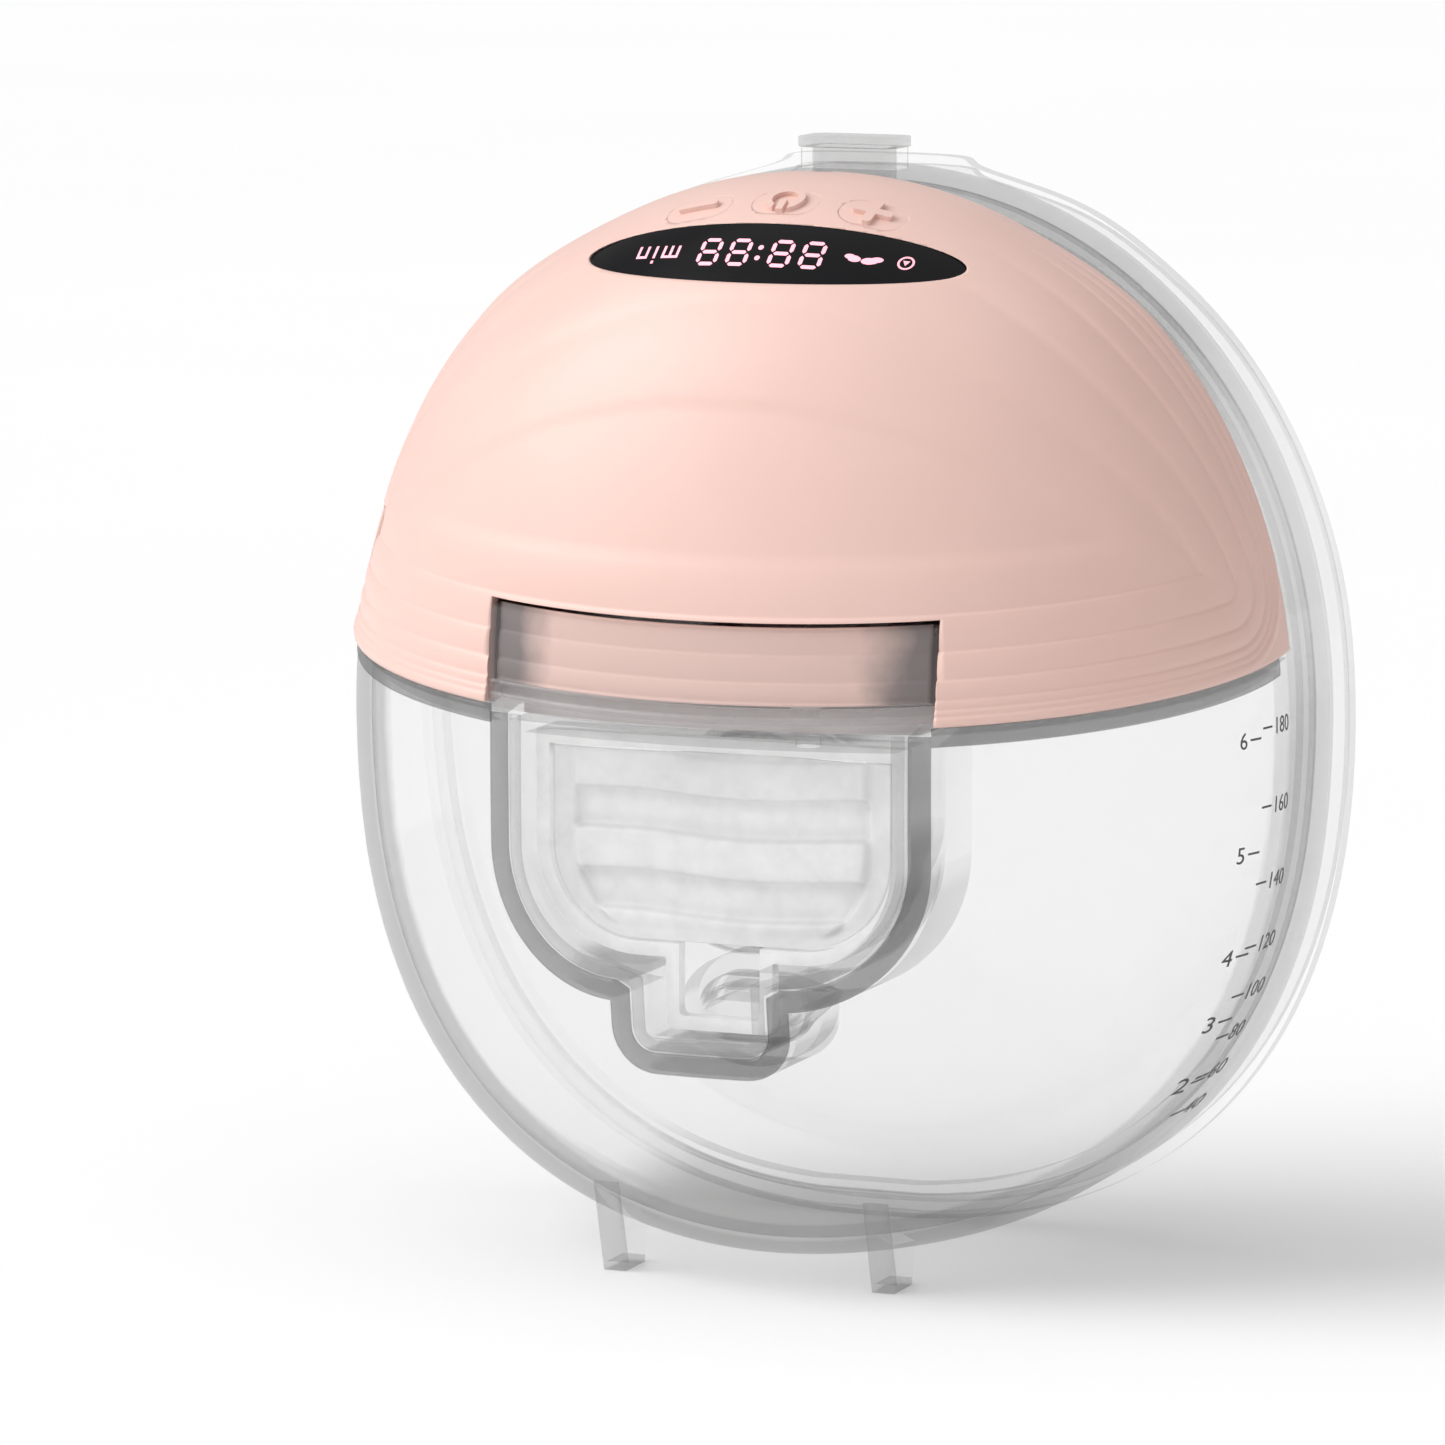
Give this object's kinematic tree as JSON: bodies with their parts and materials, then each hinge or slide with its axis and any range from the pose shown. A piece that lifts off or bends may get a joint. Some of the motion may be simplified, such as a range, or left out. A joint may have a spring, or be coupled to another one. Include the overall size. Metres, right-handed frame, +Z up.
{
  "type": "wearable breast pump",
  "caption": "Dome-shaped wearable breast pump: motor unit with display and keys over a clear milk cup with diaphragm, valve, spout and soft breast flange.",
  "frame": {"origin": "centre of the footprint at the level of the rim's lowest point and the feet", "axes": "+Z up, -Y is the domed front, +Y faces the wearer, +X is to the right seen from the front"},
  "size_m": [0.124, 0.0653, 0.1366],
  "materials": {
    "host_pink": "soft-touch matte",
    "host_white": "satin",
    "display_black": "gloss black window",
    "led_pink": "lit segments",
    "clear_plastic": "clear, polished",
    "smoky_plastic": "smoky translucent",
    "silicone_clear": "soft translucent silicone",
    "silicone_milky": "milky silicone",
    "silicone_grey": "grey silicone",
    "switch_black": "satin",
    "board_green": "solder mask",
    "battery_silver": "foil pouch",
    "steel": "brushed",
    "brass": "machined"
  },
  "bodies": {
    "cup": {"cup_front_shell": "clear_plastic"},
    "spout_plug": {"spout_plug": "silicone_grey"},
    "rear_cover": {"cup_rear_shell": "clear_plastic", "cup_seal_ring": "silicone_clear"},
    "flange": {"silicone_flange": "silicone_clear"},
    "linker": {"linker_body": "clear_plastic", "linker_cover": "clear_plastic", "diaphragm_rim": "silicone_milky"},
    "diaphragm": {"diaphragm_membrane": "silicone_milky"},
    "valve": {"duckbill_valve": "silicone_clear"},
    "host": {"host_cover": "host_pink", "host_base": "host_white", "host_screws": "steel", "display_lens": "display_black", "display_module": "led_pink", "key_switches": "switch_black", "key_board": "board_green", "main_board": "board_green", "battery": "battery_silver", "usb_board": "board_green", "usb_socket": "steel", "pump_head": "switch_black", "vacuum_motor": "steel", "release_valve": "host_white", "air_hose": "silicone_clear", "air_seal": "silicone_grey"},
    "release_tab": {"release_tab": "smoky_plastic"},
    "key_minus": {"key_minus": "host_pink"},
    "key_power": {"key_power": "host_pink"},
    "key_plus": {"key_plus": "host_pink"},
    "motor_rotor": {"motor_shaft": "steel", "eccentric": "brass"},
    "valve_plunger": {"valve_plunger": "steel"},
    "usb_port_cover": {"usb_port_cover": "host_pink"}
  },
  "joints": [
    {"name": "host_lift", "type": "slide", "parent": "cup", "child": "host", "axis": [0, 0, 1], "range_m": [0, 0.07]},
    {"name": "spout_plug_pull", "type": "slide", "parent": "cup", "child": "spout_plug", "axis": [0, 0, 1], "range_m": [0, 0.012]},
    {"name": "rear_cover_pull", "type": "slide", "parent": "cup", "child": "rear_cover", "axis": [0, 1, 0], "range_m": [0, 0.04]},
    {"name": "flange_peel", "type": "slide", "parent": "rear_cover", "child": "flange", "axis": [0, 1, 0], "range_m": [0, 0.035]},
    {"name": "linker_pull", "type": "slide", "parent": "cup", "child": "linker", "axis": [0, -1, 0], "range_m": [0, 0.05]},
    {"name": "valve_pull", "type": "slide", "parent": "cup", "child": "valve", "axis": [0, 1, 0], "range_m": [0, 0.002]},
    {"name": "diaphragm_stroke", "type": "slide", "parent": "linker", "child": "diaphragm", "axis": [0, -1, 0], "range_m": [0, 0.002], "stiffness_N_per_m": 150},
    {"name": "release_tab_press", "type": "slide", "parent": "host", "child": "release_tab", "axis": [0, 1, 0], "range_m": [0, 0.0014], "stiffness_N_per_m": 2500},
    {"name": "key_minus_press", "type": "slide", "parent": "host", "child": "key_minus", "axis": [0.1835, 0.4148, -0.8912], "range_m": [0, 0.0005], "stiffness_N_per_m": 3500},
    {"name": "key_power_press", "type": "slide", "parent": "host", "child": "key_power", "axis": [0, 0.412, -0.9112], "range_m": [0, 0.0005], "stiffness_N_per_m": 3500},
    {"name": "key_plus_press", "type": "slide", "parent": "host", "child": "key_plus", "axis": [-0.1835, 0.4148, -0.8912], "range_m": [0, 0.0005], "stiffness_N_per_m": 3500},
    {"name": "valve_plunger_stroke", "type": "slide", "parent": "host", "child": "valve_plunger", "axis": [0, 0, -1], "range_m": [0, 0.0015], "stiffness_N_per_m": 300},
    {"name": "motor_spin", "type": "hinge", "parent": "host", "child": "motor_rotor", "pos_m": [0.033, -0.0026, 0.096], "axis": [0, 0, 1], "continuous": true},
    {"name": "usb_cover_hinge", "type": "hinge", "parent": "host", "child": "usb_port_cover", "pos_m": [-0.0565, 0.0067, 0.088], "axis": [0, 0, -1], "range_deg": [0, 90]}
  ]
}
